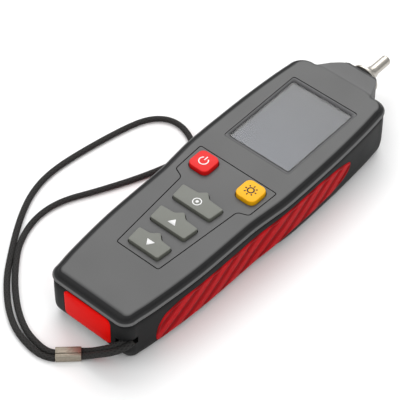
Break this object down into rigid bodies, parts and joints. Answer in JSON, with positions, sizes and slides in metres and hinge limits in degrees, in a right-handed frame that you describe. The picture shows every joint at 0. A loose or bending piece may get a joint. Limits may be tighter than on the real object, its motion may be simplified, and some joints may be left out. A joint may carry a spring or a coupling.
{
  "type": "handheld vibration meter",
  "caption": "Slim handheld vibration meter with a grey face, dark shell, red side grips, window, five keys, a steel measuring tip and a cord wrist strap.",
  "frame": {"origin": "middle of the meter's width and length (strap left out), on the plane that its back rests on", "axes": "+Y towards the measuring tip, +Z out of the face, +X to the right when the face is read with the tip away from the reader"},
  "size_m": [0.1189, 0.2481, 0.0316],
  "materials": {
    "face_grey": "fine satin texture",
    "case_dark": "satin",
    "grip_red": "soft satin, moulded ribs",
    "plate_red": "semi-gloss",
    "frame_grey": "semi-gloss",
    "lens_clear": "clear, polished",
    "gasket_black": "matt",
    "display_glass": "smooth, slightly blue",
    "holder_white": "matt",
    "ribbon_amber": "smooth film",
    "board_green": "lacquered",
    "chip_black": "matt",
    "screw_steel": "zinc plated",
    "contact_brass": "bright",
    "mat_rubber": "silicone, matt",
    "key_red": "satin",
    "key_yellow": "satin",
    "key_grey": "satin",
    "battery_jacket": "printed metal jacket",
    "lead_sheath": "smooth sheath",
    "bush_rubber": "matt",
    "probe_steel": "turned and polished",
    "can_aluminium": "drawn",
    "piezo_ceramic": "fired ceramic with thin electrodes",
    "strap_fabric": "braided nylon",
    "ferrule_metal": "cream-coloured crimped metal"
  },
  "bodies": {
    "case": {"front_case": "face_grey", "rear_case": "case_dark", "grip_left": "grip_red", "grip_right": "grip_red", "end_plate": "plate_red", "window_frame": "frame_grey", "window_lens": "lens_clear", "window_gasket": "gasket_black", "display_panel": "display_glass", "display_holder": "holder_white", "display_ribbon": "ribbon_amber", "main_board": "board_green", "board_chips": "chip_black", "board_screws": "screw_steel", "key_switches": "contact_brass", "keypad_mat": "mat_rubber", "buzzer": "chip_black", "battery": "battery_jacket", "battery_snap": "chip_black", "battery_leads": "lead_sheath", "case_screws": "screw_steel", "nose_bush": "bush_rubber", "probe_cone": "probe_steel", "probe_tip": "probe_steel", "sensor_base": "screw_steel", "sensor_can": "can_aluminium", "piezo_rings": "piezo_ceramic", "electrode_ring": "contact_brass", "seismic_mass": "screw_steel", "sensor_bolt": "screw_steel", "sensor_lead": "lead_sheath", "strap_bar": "screw_steel", "strap_tail": "strap_fabric", "strap_ferrule": "ferrule_metal", "strap_loop": "strap_fabric"},
    "key_power": {"key_power": "key_red"},
    "key_lamp": {"key_lamp": "key_yellow"},
    "key_measure": {"key_measure": "key_grey"},
    "key_up": {"key_up": "key_grey"},
    "key_down": {"key_down": "key_grey"},
    "battery_door": {"battery_door": "case_dark"}
  },
  "joints": [
    {"name": "key_power_press", "type": "slide", "parent": "case", "child": "key_power", "axis": [0, 0, -1], "range_m": [0, 0.0008], "stiffness_N_per_m": 1200, "springref_m": -0.0004},
    {"name": "key_lamp_press", "type": "slide", "parent": "case", "child": "key_lamp", "axis": [0, 0, -1], "range_m": [0, 0.0008], "stiffness_N_per_m": 1200, "springref_m": -0.0004},
    {"name": "key_measure_press", "type": "slide", "parent": "case", "child": "key_measure", "axis": [0, 0, -1], "range_m": [0, 0.0008], "stiffness_N_per_m": 1200, "springref_m": -0.0004},
    {"name": "key_up_press", "type": "slide", "parent": "case", "child": "key_up", "axis": [0, 0, -1], "range_m": [0, 0.0008], "stiffness_N_per_m": 1200, "springref_m": -0.0004},
    {"name": "key_down_press", "type": "slide", "parent": "case", "child": "key_down", "axis": [0, 0, -1], "range_m": [0, 0.0008], "stiffness_N_per_m": 1200, "springref_m": -0.0004},
    {"name": "battery_door_hinge", "type": "hinge", "parent": "case", "child": "battery_door", "pos_m": [0, -0.05855, 0.001], "axis": [1, 0, 0], "range_deg": [0, 90]}
  ]
}
